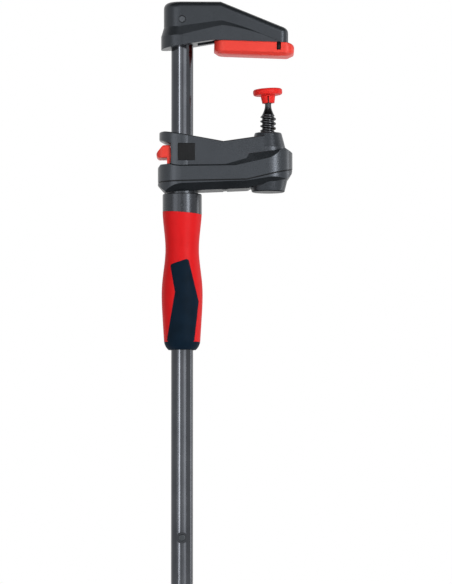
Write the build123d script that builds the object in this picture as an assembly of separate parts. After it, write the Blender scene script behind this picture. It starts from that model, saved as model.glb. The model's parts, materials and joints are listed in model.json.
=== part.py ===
from build123d import *
import os
from math import acos, cos, degrees, pi, radians, sin, sqrt, tan

# Frame: the rail's axis is Z, its foot is at z = 0, the jaws reach out along +X. Millimetres.

# Rail
RAIL_RADIUS = 7.7
RAIL_LENGTH = 402.0
RAIL_GROOVE_WIDTH = 6.0
RAIL_GROOVE_DEPTH = 1.4
RAIL_CHAMFER = 0.8
STOP_PIN_RADIUS = 2.4
STOP_PIN_HEIGHT = 32.7
STOP_PIN_PROUD = 1.2
STOP_PIN_ROUND = 0.6
STOP_RECESS_RADIUS = 4.0
STOP_RECESS_DEPTH = 0.8

# Gear train from the handle to the spindle
MODULE = 1.0
DRIVE_TEETH = 24
IDLER_TEETH = 18
SPINDLE_TEETH = 24
GEAR_THICKNESS = 4.4
GEAR_BACKLASH = 0.24
PRESSURE_ANGLE = 20.0
DEDENDUM = 1.25
FLANK_STEPS = 3
AXLE_RADIUS = 2.5

# Clearances
SLIDE_GAP = 0.35
RUN_GAP = 0.05
SEAT_GAP = 0.02
FACE_GAP = 0.3

# How far a cut runs past the face it opens, and how far up a roof face has to look
CUT_PAST = 1.0
ROOF_NORMAL = 0.6

# Fixed arm
ARM_POST_RADIUS = 12.9
ARM_FOOT_RADIUS = 14.8
ARM_SOCKET_DEPTH = 28.5
ARM_FOOT_HEIGHT = 9.2
ARM_FLARE = 6.3
ARM_TOP_ROUND = 4.5
ARM_ROOF = 4.7
ARM_FLAT_LENGTH = 26.9
ARM_NOSE_REACH = 14.0
ARM_NOSE_THICKNESS = 10.0
ARM_NOSE_HALF = 10.4
ARM_NOSE_CORNER = 5.5
ARM_CREASE_PEAK_X = 27.8
ARM_CREASE_END_X = 66.0
ARM_CREASE_RISE = 1.8
ARM_SHOULDER_HALF = 11.4
ARM_SHOULDER_AT_POST = 11.3
ARM_SHOULDER_AT_PEAK = 10.0
ARM_SHOULDER_AT_END = 1.5
ARM_WALL = 3.0
ARM_PIN_RADIUS = 2.5
ARM_PIN_BELOW_TOP = 12.8
ARM_PIN_CHAMFER = 0.4

# Jaw pad
PAD_LENGTH = 55.9
PAD_BACK_X = 22.4
PAD_HALF = 13.5
PAD_THICKNESS = 9.2
PAD_TOP_RISE = 5.9
PAD_TOP_ROUND = 0.8
PAD_TOE_IN = 2.0
PAD_BACK_CORNER = 8.5
PAD_TIP_CORNER = 6.6
PAD_EDGE_ROUND = 2.0
PAD_SLOT_WIDTH = 2.8
PAD_SLOT_DEPTH = 5.4
PAD_SLOT_FROM_TIP = 9.4
PAD_SLOT_REACH = 4.0
PAD_CLIP_LENGTH = 12.0
PAD_CLIP_PLACES = [14.0, 34.9]
PAD_CLIP_HEIGHT = 3.6

# Sliding arm
SLIDER_BELOW_TOP = 121.4
GEAR_ROOM = 1.2
SLIDER_COVER_DROP = 7.3
SLIDER_COVER_BEVEL = 5.0
TIER_HEIGHT = 11.8
SLIDER_WALL = 2.8
EAR_RADIUS = 16.0
EAR_HEIGHT = 23.2
EAR_THICKNESS = 6.0
EAR_SLANT = 3.1
EAR_LIP_ROUND = 1.2
UPPER_HALF = 15.5
NOTCH_X = -7.8
VALLEY_X = 28.8
VALLEY_HEIGHT = 16.0
BOSS_HEIGHT = 22.9
BOSS_EDGE_ROUND = 1.0
BOSS_TOP_RADIUS = 9.3
BOSS_SKIRT_RADIUS = 12.1
BOSS_SKIRT_HEIGHT = 10.6
LOWER_BOSS_RADIUS = 11.4
LOWER_BOSS_ROOT_RADIUS = 14.0
LOWER_BOSS_RISE = 0.4
LOWER_BOSS_FLOOR = 1.8
SEAM_BEND_X = 45.0
SEAM_BEND_RISE = 1.3
SEAM_END_RISE = 8.9
COVER_BEND_RISE = 2.3
COVER_HEEL = 13.7
COVER_HEEL_RISE = 9.4
COVER_TIP = 16.6
COVER_TIP_RISE = 13.7
TIER_EDGE = 2.0
TIER_END_RISE = 8.5
TIER_FRONT_DROP = 1.9
SHOULDER_WIDTH = 2.5
SHOULDER_INNER = [(12.0, 11.2), (6.6, 9.9), (-12.5, 7.3), (-36.0, 0.1)]
SHOULDER_OUTER = [(12.0, 7.0), (6.6, 5.4), (-8.6, 1.9), (-22.5, -1.2)]
NOSE_RISE = 5.0
EAR_FLAT = 4.0
WAIST_TOP_X = 18.5
WAIST_LOW_X = 36.0
WAIST_DROP = 8.0
WAIST_NOSE_BACK = 8.0
WAIST_NOSE_HALF = 11.5
POCKET_WALL = 1.5
POCKET_ROOM = 1.0
UPPER_EDGE_ROUND = 0.9
SEAM_REVEAL = 0.8
GEAR_FLOOR_RISE = 3.8
AXLE_SEAT = 1.2
WASHER_WIDTH = 1.8
BADGE_SIDE = 12.0
BADGE_X = 3.0
BADGE_RISE = 8.4
BADGE_DEPTH = 1.0
BADGE_CHAMFER = 0.2
SCREW_RADIUS = 1.25
SCREW_HEAD_RADIUS = 2.4
SCREW_HEAD_HEIGHT = 1.6
SCREW_POST_RADIUS = 2.5
SCREW_Y = 10.2
SCREW_SEAT_DROP = 5.4

# Release button and lock plate
BUTTON_TRAVEL = 2.5
BUTTON_TIP_X = -17.9
BUTTON_RISE = 4.6
BUTTON_EDGE_ROUND = 2.0
BUTTON_HEIGHT = 8.8
BUTTON_HALF = 11.6
BUTTON_PRONG_HEIGHT = 2.6
BUTTON_PRONG_END = 9.0
BUTTON_SKIRT_WIDTH = 2.4
LOCK_THICKNESS = 2.5
LOCK_TILT = 2.0
LOCK_PIVOT_X = 13.5
LOCK_RADIUS = 10.7
LOCK_RISE = 5.4
TRUNNION_RADIUS = 1.5
TRUNNION_SEAT = 1.6
SPRING_LEAF = 0.6
BUTTON_LIP_ROUND = 1.4
BUTTON_BROW = 4.6
BUTTON_NOSE_RISE = 3.4
BUTTON_ROOF = 1.2

# Handle
NECK_RADIUS = 11.2
NECK_HEIGHT = 1.0
COLLAR_RADIUS = 13.7
COLLAR_HEIGHT = 13.3
COLLAR_SLANT = 4.4
GEAR_SEAT_RADIUS = 9.5
CLIP_THICKNESS = 0.8
CLIP_WIDTH = 1.6
CLIP_GAP_HALF = 3.2
SPIGOT_RADIUS = 10.6
COLLAR_EDGE = 0.5
SPIGOT_LENGTH = 10.0
COLLAR_PIN_RADIUS = 1.1
COLLAR_PIN_UP = 5.1
COLLAR_PIN_SUNK = 1.6
BORE_GAP = 0.5
GRIP_WAIST_RADIUS = 11.7
GRIP_WAIST_DOWN = 25.5
GRIP_BELLY_RADIUS = 14.1
GRIP_BELLY_UP = 45.0
GRIP_THIGH_RADIUS = 13.6
GRIP_THIGH_UP = 21.0
GRIP_HEEL_RADIUS = 12.7
GRIP_HEEL_UP = 6.5
GRIP_FOOT_RADIUS = 9.6
GRIP_LENGTH = 95.5
INLAY_DEPTH = 1.3
INLAY_CORNERS = [(-4.9, 39.6), (-8.3, 59.0), (4.4, 63.2), (11.6, 33.2)]
INLAY_FOOT_LEFT = -10.8
INLAY_FOOT_RIGHT = 8.5
INLAY_CORNER_ROUND = 1.8
END_RING_HEIGHT = 5.4

# Spindle and pressure plate
SPINDLE_RADIUS = 5.5
SPINDLE_NECK_RADIUS = 2.2
SPINDLE_THREAD_OUT = 12.7
SPINDLE_ROOT_RADIUS = 4.2
SPINDLE_TAPER = 6.0
SPINDLE_NECK_LENGTH = 2.0
SPINDLE_BALL_RADIUS = 3.4
SPINDLE_RETRACT = 16.0
KEY_WIDTH = 2.0
KEY_DEPTH = 1.0
KEY_LENGTH = 6.0
HUB_RADIUS = 8.0
HUB_LENGTH = 9.6
NUT_RADIUS = 7.4
NUT_HEIGHT = 14.6
PLATE_RADIUS = 10.2
PLATE_THICKNESS = 4.4
PLATE_RIM_ROUND = 1.5
PLATE_HUB_RADIUS = 5.2
PLATE_HUB_TAPER = 0.9
PLATE_HUB_HEIGHT = 5.5
PLATE_HUB_BELOW_BALL = 3.2
PLATE_MOUTH_GAP = 0.8
PLATE_SLIT = 0.8
PLATE_TILT = 3.7

# Places that follow from the sizes above
DRIVE_PITCH = MODULE * DRIVE_TEETH / 2
IDLER_PITCH = MODULE * IDLER_TEETH / 2
SPINDLE_PITCH = MODULE * SPINDLE_TEETH / 2
IDLER_A_X = DRIVE_PITCH + IDLER_PITCH
IDLER_B_X = IDLER_A_X + 2 * IDLER_PITCH
REACH = IDLER_B_X + IDLER_PITCH + SPINDLE_PITCH
ARM_TOP = RAIL_LENGTH + ARM_ROOF
ARM_FOOT_BOTTOM = RAIL_LENGTH - ARM_SOCKET_DEPTH
ARM_FOOT_TOP = ARM_FOOT_BOTTOM + ARM_FOOT_HEIGHT
PAD_TOP_AT_BACK = ARM_FOOT_BOTTOM + PAD_TOP_RISE
ARM_NOSE_X = REACH + ARM_NOSE_REACH
RAIL_BORE = RAIL_RADIUS + SLIDE_GAP
SLIDER_SEAM = RAIL_LENGTH - SLIDER_BELOW_TOP
SLIDER_TIER = SLIDER_SEAM + TIER_HEIGHT
EAR_TOP = SLIDER_TIER + EAR_HEIGHT
VALLEY_Z = SLIDER_TIER + VALLEY_HEIGHT
BOSS_TOP = SLIDER_TIER + BOSS_HEIGHT
BADGE_Z = SLIDER_TIER + BADGE_RISE
BUTTON_BOTTOM = SLIDER_TIER + BUTTON_RISE
LOCK_Z = BUTTON_BOTTOM + LOCK_RISE
POCKET_TOP = BUTTON_BOTTOM + BUTTON_HEIGHT + FACE_GAP
POCKET_END = LOCK_PIVOT_X + TRUNNION_RADIUS + POCKET_WALL
POCKET_HALF = BUTTON_HALF + POCKET_ROOM
GEAR_FLOOR = SLIDER_SEAM + GEAR_FLOOR_RISE
GEAR_BOTTOM = GEAR_FLOOR + 2 * FACE_GAP
GEAR_TOP = GEAR_BOTTOM + GEAR_THICKNESS
GEAR_CEILING = GEAR_TOP + CLIP_THICKNESS + 2 * FACE_GAP
HUB_TOP = GEAR_TOP + HUB_LENGTH
CAVITY_RADIUS = max(DRIVE_PITCH, SPINDLE_PITCH) + MODULE + GEAR_ROOM
SLIDER_HALF = CAVITY_RADIUS + SLIDER_WALL
COVER_BOTTOM = SLIDER_SEAM - SLIDER_COVER_DROP
LOWER_BOSS_BOTTOM = COVER_BOTTOM + LOWER_BOSS_RISE
SCREW_SEAT = GEAR_FLOOR - SCREW_SEAT_DROP
HANDLE_BORE = RAIL_RADIUS + BORE_GAP
COLLAR_TOP = COVER_BOTTOM - NECK_HEIGHT
COLLAR_BOTTOM = COLLAR_TOP - COLLAR_HEIGHT
COLLAR_PIN_Z = COLLAR_BOTTOM + COLLAR_PIN_UP
SPIGOT_TOP = COLLAR_BOTTOM + SPIGOT_LENGTH
SPINDLE_BOTTOM = LOWER_BOSS_BOTTOM + LOWER_BOSS_FLOOR + FACE_GAP + SPINDLE_RETRACT
BALL_Z = BOSS_TOP + SPINDLE_THREAD_OUT + SPINDLE_TAPER + SPINDLE_NECK_LENGTH + SPINDLE_BALL_RADIUS


def side_face(points):
    """Closed outline in the side view, given as (x, z) corners."""
    return Plane.XZ * make_face(Polyline(*points, close=True))


def side_prism(points, half):
    """Side-view outline carried the same distance to both sides."""
    return extrude(side_face(points), half, both=True)


def bevelled_prism(inner, outer, inner_half, outer_half):
    """Side-view outline that changes from inner to outer between two half-widths, on both sides."""
    near = Pos(0, -inner_half, 0) * side_face(inner)
    far = Pos(0, -outer_half, 0) * side_face(outer)
    flank = loft([near, far], ruled=True)
    return side_prism(inner, inner_half) + flank + mirror(flank, about=Plane.XZ)


def slot_plan(radius, reach):
    """Plan of two equal circles, one on the rail and one at the reach, joined by tangents."""
    return Circle(radius) + Pos(reach, 0) * Circle(radius) + Pos(reach / 2, 0) * Rectangle(reach, 2 * radius)


def upright(face, bottom, top):
    """Plan face carried from one height to another."""
    return Pos(0, 0, bottom) * extrude(face, top - bottom)


def rod(radius, bottom, top, x=0.0, y=0.0):
    """Upright round bar."""
    return Pos(x, y, (bottom + top) / 2) * Cylinder(radius, top - bottom)


def tube(outer, inner, bottom, top, x=0.0):
    """Upright round bar with a bore."""
    return rod(outer, bottom, top, x) - rod(inner, bottom, top, x)


def cross_rod(radius, length, x, z):
    """Round bar along Y, centred on the mid plane."""
    return Pos(x, 0, z) * Rot(90, 0, 0) * Cylinder(radius, length)


def block(x0, x1, half, z0, z1):
    """Box between two stations and two heights, centred on the mid plane."""
    return Pos((x0 + x1) / 2, 0, (z0 + z1) / 2) * Box(x1 - x0, 2 * half, z1 - z0)


def turned(points):
    """Solid of revolution about the rail's axis from (radius, z) corners."""
    return revolve(side_face(points), Axis.Z)


def roof_edges(solid, level):
    """Outer edges of the faces that look up and lie wholly above a level."""
    high = [face for face in solid.faces() if face.bounding_box().min.Z > level]
    roofs = [face for face in high if face.normal_at().Z > ROOF_NORMAL]
    edges = [edge for face in roofs for edge in face.edges()]
    return ShapeList([edge for edge in edges if sum(edge.is_same(other) for other in edges) == 1])


def make_rail():
    bar = rod(RAIL_RADIUS, 0, RAIL_LENGTH)
    bar = chamfer(bar.edges().group_by(Axis.Z)[0], RAIL_CHAMFER)
    sag = RAIL_GROOVE_DEPTH - (RAIL_RADIUS - sqrt(RAIL_RADIUS**2 - RAIL_GROOVE_WIDTH**2 / 4))
    groove_radius = (RAIL_GROOVE_WIDTH**2 / 4 + sag**2) / (2 * sag)
    for side in (-1, 1):
        groove_y = side * (RAIL_RADIUS - RAIL_GROOVE_DEPTH + groove_radius)
        bar -= rod(groove_radius, -CUT_PAST, RAIL_LENGTH + CUT_PAST, 0, groove_y)
    recess_half = RAIL_RADIUS - RAIL_GROOVE_DEPTH - STOP_RECESS_DEPTH
    recess = cross_rod(STOP_RECESS_RADIUS, 4 * RAIL_RADIUS, 0, STOP_PIN_HEIGHT)
    recess -= cross_rod(STOP_RECESS_RADIUS, 2 * recess_half, 0, STOP_PIN_HEIGHT)
    bar -= recess
    bar -= cross_rod(STOP_PIN_RADIUS, 4 * RAIL_RADIUS, 0, STOP_PIN_HEIGHT)
    bar -= cross_rod(ARM_PIN_RADIUS, 4 * RAIL_RADIUS, 0, ARM_TOP - ARM_PIN_BELOW_TOP)
    return bar


def make_stop_pin():
    length = 2 * (RAIL_RADIUS + STOP_PIN_PROUD)
    pin = cross_rod(STOP_PIN_RADIUS - SEAT_GAP, length, 0, STOP_PIN_HEIGHT)
    return fillet(pin.edges().filter_by(GeomType.CIRCLE), STOP_PIN_ROUND)


def pad_top(x):
    """Height of the jaw pad's top face, which toes in towards the tip."""
    return PAD_TOP_AT_BACK - (x - PAD_BACK_X) * tan(radians(PAD_TOE_IN))


def arm_under(x):
    """Height of the fixed arm's underside, which slants up from the foot to the back of the pad."""
    share = (x + ARM_FOOT_RADIUS) / (PAD_BACK_X + ARM_FOOT_RADIUS)
    return ARM_FOOT_BOTTOM + share * PAD_TOP_RISE


def arm_plan(half):
    """Plan of the fixed arm, which narrows from the post to the nose."""
    corners = [(0, -half), (ARM_NOSE_X, -ARM_NOSE_HALF), (ARM_NOSE_X, ARM_NOSE_HALF), (0, half)]
    return make_face(Polyline(*corners, close=True))


def make_fixed_arm():
    low = ARM_FOOT_BOTTOM - CUT_PAST
    nose_top = pad_top(ARM_NOSE_X) + ARM_NOSE_THICKNESS
    post = turned([
        (0, ARM_FOOT_BOTTOM), (ARM_FOOT_RADIUS, ARM_FOOT_BOTTOM), (ARM_FOOT_RADIUS, ARM_FOOT_TOP),
        (ARM_POST_RADIUS, ARM_FOOT_TOP + ARM_FLARE), (ARM_POST_RADIUS, ARM_TOP), (0, ARM_TOP)])
    post -= side_prism([
        (-ARM_FOOT_RADIUS, ARM_FOOT_BOTTOM), (PAD_BACK_X, arm_under(PAD_BACK_X)),
        (PAD_BACK_X, low), (-ARM_FOOT_RADIUS, low)], 2 * ARM_FOOT_RADIUS)
    under = [(0, arm_under(0)), (PAD_BACK_X, arm_under(PAD_BACK_X))]
    upper = side_prism(under + [
        (ARM_NOSE_X, pad_top(ARM_NOSE_X)), (ARM_NOSE_X, nose_top), (ARM_FLAT_LENGTH, ARM_TOP), (0, ARM_TOP)],
        ARM_POST_RADIUS)
    plan = arm_plan(ARM_POST_RADIUS)
    plan = fillet(plan.vertices().sort_by(Axis.X)[-2:], ARM_NOSE_CORNER)
    upper &= upright(plan, low, ARM_TOP)
    crease_start = ARM_FOOT_TOP + FACE_GAP
    crease_end = pad_top(ARM_CREASE_END_X)
    crease = [(ARM_CREASE_END_X, crease_end + SEAT_GAP)]
    crease += [(ARM_CREASE_PEAK_X, crease_start + ARM_CREASE_RISE), (0, crease_start)]
    lifts = [ARM_SHOULDER_AT_END, ARM_SHOULDER_AT_PEAK, ARM_SHOULDER_AT_POST]
    raised = [(x, z + lift) for (x, z), lift in zip(crease, lifts)]
    foot = under + [(ARM_CREASE_END_X, crease_end)]
    lower = bevelled_prism(foot + raised, foot + crease, ARM_SHOULDER_HALF, ARM_FOOT_RADIUS)
    lower &= upright(arm_plan(ARM_FOOT_RADIUS), low, ARM_TOP)
    arm = post + upper
    arm = fillet(roof_edges(arm, nose_top - CUT_PAST), ARM_TOP_ROUND) + lower
    arm -= rod(RAIL_RADIUS, low, RAIL_LENGTH)
    pocket_roof = pad_top(ARM_NOSE_X) + PAD_CLIP_HEIGHT + ARM_WALL
    pocket_end = ARM_NOSE_X - ARM_NOSE_CORNER - ARM_WALL
    arm -= block(RAIL_RADIUS + ARM_WALL, pocket_end, ARM_NOSE_HALF - ARM_WALL, low, pocket_roof)
    arm += block(PAD_BACK_X, pocket_end, ARM_WALL / 2, pad_top(PAD_BACK_X), pocket_roof)
    arm -= cross_rod(ARM_PIN_RADIUS, 4 * ARM_POST_RADIUS, 0, ARM_TOP - ARM_PIN_BELOW_TOP)
    return arm


def make_arm_pin():
    length = 2 * (ARM_POST_RADIUS - SEAT_GAP)
    pin = cross_rod(ARM_PIN_RADIUS - SEAT_GAP, length, 0, ARM_TOP - ARM_PIN_BELOW_TOP)
    return chamfer(pin.edges().filter_by(GeomType.CIRCLE), ARM_PIN_CHAMFER)


def make_jaw_pad():
    plan = Rectangle(PAD_LENGTH, 2 * PAD_HALF)
    plan = fillet(plan.vertices().sort_by(Axis.X)[:2], PAD_BACK_CORNER)
    plan = fillet(plan.vertices().sort_by(Axis.X)[-2:], PAD_TIP_CORNER)
    slab = Pos(PAD_LENGTH / 2, 0, -PAD_THICKNESS) * extrude(plan, PAD_THICKNESS)
    slab = fillet(slab.edges().group_by(Axis.Z)[0], PAD_EDGE_ROUND)
    slab = fillet(slab.edges().group_by(Axis.Z)[-1], PAD_TOP_ROUND)
    slot_x = PAD_LENGTH - PAD_SLOT_FROM_TIP - PAD_SLOT_WIDTH
    slots = block(slot_x, slot_x + PAD_SLOT_WIDTH, 2 * PAD_HALF, -PAD_SLOT_DEPTH, PAD_SLOT_DEPTH)
    slots -= block(0, PAD_LENGTH, PAD_HALF - PAD_SLOT_REACH, -PAD_THICKNESS, PAD_THICKNESS)
    pad = slab - slots
    clip_half = (ARM_NOSE_HALF - ARM_WALL - ARM_WALL / 2 - 2 * FACE_GAP) / 2
    clip_y = ARM_WALL / 2 + FACE_GAP + clip_half
    half_length = PAD_CLIP_LENGTH / 2
    for clip_x in PAD_CLIP_PLACES:
        for side in (-1, 1):
            clip = block(clip_x - half_length, clip_x + half_length, clip_half, -FACE_GAP, PAD_CLIP_HEIGHT)
            pad += Pos(0, side * clip_y, 0) * clip
    return Pos(PAD_BACK_X, 0, PAD_TOP_AT_BACK) * Rot(0, PAD_TOE_IN, 0) * pad


def seam_line():
    """Line between housing and cover in the side view, left to right."""
    end = (REACH + SLIDER_HALF, SLIDER_SEAM + SEAM_END_RISE)
    return [(-SLIDER_HALF, SLIDER_SEAM), (SEAM_BEND_X, SLIDER_SEAM + SEAM_BEND_RISE), end]


def shoulder_outline(steps, drop):
    """Lower tier in the side view: the seam, the end, the stepped shoulder, and the back less a drop."""
    line = seam_line() + [(REACH + SLIDER_HALF, SLIDER_TIER + TIER_END_RISE)]
    line += [(REACH + x, SLIDER_TIER + z) for x, z in steps]
    back = SLIDER_TIER - drop
    return line + [(TIER_EDGE - SLIDER_HALF, back), (-SLIDER_HALF, back - TIER_EDGE)]


def waist_cut(side):
    """Half space beyond the slanted plane that narrows the upper tier towards its nose."""
    corner = Vector(WAIST_TOP_X, side * UPPER_HALF, VALLEY_Z)
    low = Vector(WAIST_LOW_X, side * UPPER_HALF, VALLEY_Z - WAIST_DROP)
    nose = Vector(REACH - WAIST_NOSE_BACK, side * WAIST_NOSE_HALF, VALLEY_Z)
    outward = (low - corner).cross(nose - corner) * -side
    size = 2 * REACH
    return Plane(origin=corner, z_dir=outward) * Pos(0, 0, size / 2) * Box(2 * size, 2 * size, size)


def screw_places():
    """Cover screws stand in the four free corners beside the second idler gear."""
    return [(IDLER_B_X + dx, side * SCREW_Y) for dx in (-IDLER_PITCH, IDLER_PITCH) for side in (-1, 1)]


def make_slider_housing():
    shoulder_in = shoulder_outline(SHOULDER_INNER, 0)
    shoulder_out = shoulder_outline(SHOULDER_OUTER, TIER_FRONT_DROP)
    lower = bevelled_prism(shoulder_in, shoulder_out, SLIDER_HALF - SHOULDER_WIDTH, SLIDER_HALF)
    lower &= upright(slot_plan(SLIDER_HALF, REACH), COVER_BOTTOM, EAR_TOP)
    ear_low = EAR_TOP - EAR_THICKNESS
    upper = side_prism([
        (NOTCH_X, SLIDER_TIER - SLIDER_WALL), (REACH, SLIDER_TIER - SLIDER_WALL),
        (REACH, VALLEY_Z + NOSE_RISE), (VALLEY_X, VALLEY_Z), (EAR_FLAT - EAR_RADIUS, EAR_TOP),
        (-EAR_RADIUS, EAR_TOP), (-EAR_RADIUS, ear_low), (NOTCH_X, ear_low - EAR_SLANT)], EAR_RADIUS)
    plan = Circle(EAR_RADIUS) + Pos(REACH / 2, 0) * Rectangle(REACH, 2 * UPPER_HALF)
    upper &= upright(plan, COVER_BOTTOM, EAR_TOP)
    for side in (-1, 1):
        upper -= waist_cut(side)
    upper = fillet(roof_edges(upper, VALLEY_Z - SLIDER_WALL), UPPER_EDGE_ROUND)
    under_ear = upper.faces().filter_by(lambda face: face.normal_at().Z < -ROOF_NORMAL).sort_by(Axis.Z)[-1]
    upper = fillet(under_ear.edges().filter_by(GeomType.ELLIPSE), EAR_LIP_ROUND)
    boss = Pos(REACH, 0, 0) * turned([
        (0, SLIDER_TIER), (BOSS_SKIRT_RADIUS, SLIDER_TIER), (BOSS_SKIRT_RADIUS, BOSS_TOP - BOSS_SKIRT_HEIGHT),
        (BOSS_TOP_RADIUS, BOSS_TOP), (0, BOSS_TOP)])
    boss = fillet(boss.edges().group_by(Axis.Z)[-1], BOSS_EDGE_ROUND)
    body = lower + upper + boss
    body -= rod(RAIL_BORE, COVER_BOTTOM, EAR_TOP + CUT_PAST)
    body -= block(NOTCH_X - REACH, POCKET_END, POCKET_HALF, SLIDER_TIER, POCKET_TOP)
    body -= cross_rod(TRUNNION_RADIUS + RUN_GAP, 2 * (POCKET_HALF + TRUNNION_SEAT), LOCK_PIVOT_X, LOCK_Z)
    body -= upright(slot_plan(CAVITY_RADIUS, REACH), COVER_BOTTOM, GEAR_CEILING)
    for x, y in screw_places():
        body += rod(SCREW_POST_RADIUS, GEAR_FLOOR, GEAR_CEILING + SEAT_GAP, x, y)
        body -= rod(SCREW_RADIUS, GEAR_FLOOR, GEAR_CEILING, x, y)
    for x in (IDLER_A_X, IDLER_B_X):
        body -= rod(AXLE_RADIUS, GEAR_CEILING, GEAR_CEILING + AXLE_SEAT, x)
    body -= rod(HUB_RADIUS + RUN_GAP, GEAR_CEILING, HUB_TOP + FACE_GAP, REACH)
    body -= rod(SPINDLE_RADIUS + FACE_GAP, HUB_TOP, BOSS_TOP + CUT_PAST, REACH)
    body -= rod(NUT_RADIUS, BOSS_TOP - NUT_HEIGHT, BOSS_TOP + CUT_PAST, REACH)
    body -= Pos(BADGE_X, -UPPER_HALF, BADGE_Z) * Box(BADGE_SIDE, 2 * BADGE_DEPTH, BADGE_SIDE)
    return body


def cover_outline(bevel):
    """Cover in the side view: the seam above, the raised tip and the bottom, which the bevel lifts."""
    line = seam_line() + [(REACH + COVER_TIP, COVER_BOTTOM + COVER_TIP_RISE)]
    line += [(REACH + COVER_HEEL, COVER_BOTTOM + COVER_HEEL_RISE + bevel / 2)]
    line += [(SEAM_BEND_X, COVER_BOTTOM + COVER_BEND_RISE + bevel)]
    line += [(SLIDER_COVER_BEVEL - SLIDER_HALF, COVER_BOTTOM + bevel)]
    return line + [(-SLIDER_HALF, COVER_BOTTOM + SLIDER_COVER_BEVEL + SEAT_GAP)]


def make_slider_cover():
    shell = bevelled_prism(cover_outline(0), cover_outline(SLIDER_COVER_BEVEL),
                           SLIDER_HALF - SLIDER_COVER_BEVEL, SLIDER_HALF)
    shell &= upright(slot_plan(SLIDER_HALF, REACH), COVER_BOTTOM, EAR_TOP)
    plug_side = [(-SLIDER_HALF, GEAR_FLOOR), (REACH + SLIDER_HALF, GEAR_FLOOR)]
    plug_side += cover_outline(SLIDER_COVER_BEVEL)[4:]
    plug = side_prism(plug_side, SLIDER_HALF)
    plug &= upright(slot_plan(CAVITY_RADIUS - SEAT_GAP, REACH), COVER_BOTTOM, GEAR_FLOOR)
    boss = Pos(REACH, 0, 0) * turned([
        (0, LOWER_BOSS_BOTTOM), (LOWER_BOSS_RADIUS, LOWER_BOSS_BOTTOM),
        (LOWER_BOSS_ROOT_RADIUS, GEAR_FLOOR), (0, GEAR_FLOOR)])
    boss = fillet(boss.edges().group_by(Axis.Z)[0], BOSS_EDGE_ROUND)
    seam = seam_line()
    reveal = side_prism(seam + [(x, z - SEAM_REVEAL) for x, z in reversed(seam)], 2 * SLIDER_HALF)
    reveal -= upright(slot_plan(SLIDER_HALF - SEAM_REVEAL, REACH), COVER_BOTTOM, EAR_TOP)
    cover = shell - reveal + plug + boss
    cover -= upright(slot_plan(CAVITY_RADIUS, REACH), GEAR_FLOOR, GEAR_CEILING)
    cover -= rod(NECK_RADIUS + RUN_GAP, COVER_BOTTOM - CUT_PAST, GEAR_FLOOR + CUT_PAST)
    well_floor = LOWER_BOSS_BOTTOM + LOWER_BOSS_FLOOR
    cover -= rod(SPINDLE_RADIUS + 2 * FACE_GAP, well_floor, GEAR_FLOOR + CUT_PAST, REACH)
    for x in (IDLER_A_X, IDLER_B_X):
        cover -= rod(AXLE_RADIUS, GEAR_FLOOR - 2 * AXLE_SEAT, GEAR_FLOOR + CUT_PAST, x)
    for x, y in screw_places():
        cover -= rod(SCREW_RADIUS, COVER_BOTTOM, GEAR_FLOOR, x, y)
        cover -= rod(SCREW_HEAD_RADIUS, COVER_BOTTOM - CUT_PAST, SCREW_SEAT, x, y)
    return cover


def make_cover_screws():
    screws = []
    for x, y in screw_places():
        head_low = SCREW_SEAT - SCREW_HEAD_HEIGHT
        shank = rod(SCREW_RADIUS - SEAT_GAP, head_low, GEAR_CEILING - SEAT_GAP, x, y)
        screws.append(shank + rod(SCREW_HEAD_RADIUS - SEAT_GAP, head_low, SCREW_SEAT, x, y))
    return Compound(children=screws)


def make_badge_tile():
    side = BADGE_SIDE - 2 * SEAT_GAP
    tile = Pos(BADGE_X, BADGE_DEPTH / 2 - UPPER_HALF, BADGE_Z) * Box(side, BADGE_DEPTH, side)
    return chamfer(tile.faces().sort_by(Axis.Y)[0].edges(), BADGE_CHAMFER)


def make_idler_axle(x):
    return rod(AXLE_RADIUS - SEAT_GAP, GEAR_FLOOR - 2 * AXLE_SEAT, GEAR_CEILING + AXLE_SEAT, x)


def make_thrust_washers():
    drive = tube(NECK_RADIUS + WASHER_WIDTH, NECK_RADIUS + FACE_GAP, GEAR_FLOOR, GEAR_FLOOR + FACE_GAP)
    spindle = tube(HUB_RADIUS, SPINDLE_RADIUS + 2 * FACE_GAP, GEAR_FLOOR, GEAR_FLOOR + FACE_GAP, REACH)
    return Compound(children=[drive, spindle])


def make_spindle_nut():
    return tube(NUT_RADIUS, SPINDLE_RADIUS + RUN_GAP, BOSS_TOP - NUT_HEIGHT, BOSS_TOP - FACE_GAP, REACH)


def gear_face(teeth, phase):
    """Spur gear outline with involute flanks; one tooth points at the phase angle in degrees."""
    pitch = MODULE * teeth / 2
    base = pitch * cos(radians(PRESSURE_ANGLE))
    tip = pitch + MODULE
    root = pitch - DEDENDUM * MODULE
    half_tooth = (pi * MODULE / 2 - GEAR_BACKLASH) / (2 * pitch)
    flat = tan(radians(PRESSURE_ANGLE)) - radians(PRESSURE_ANGLE)
    flank = [(root, half_tooth + flat)]
    for step in range(FLANK_STEPS + 1):
        radius = base + (tip - base) * step / FLANK_STEPS
        roll = acos(base / radius)
        flank.append((radius, half_tooth + flat - (tan(roll) - roll)))
    points = []
    for tooth in range(teeth):
        centre = radians(phase) + 2 * pi * tooth / teeth
        rising = [(radius, centre - angle) for radius, angle in flank]
        falling = [(radius, centre + angle) for radius, angle in reversed(flank)]
        points += [(radius * cos(angle), radius * sin(angle)) for radius, angle in rising + falling]
    return make_face(Polyline(*points, close=True))


def next_phase(phase, pitch, next_pitch):
    """Phase of the following gear, so that a gap of it faces a tooth of the gear before."""
    return 180 - degrees((radians(phase) * pitch + pi * MODULE / 2) / next_pitch)


def make_gear(teeth, phase, x, bore):
    blank = upright(gear_face(teeth, phase), GEAR_BOTTOM, GEAR_TOP) - rod(bore, GEAR_BOTTOM, GEAR_TOP)
    return Pos(x, 0, 0) * blank


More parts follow.
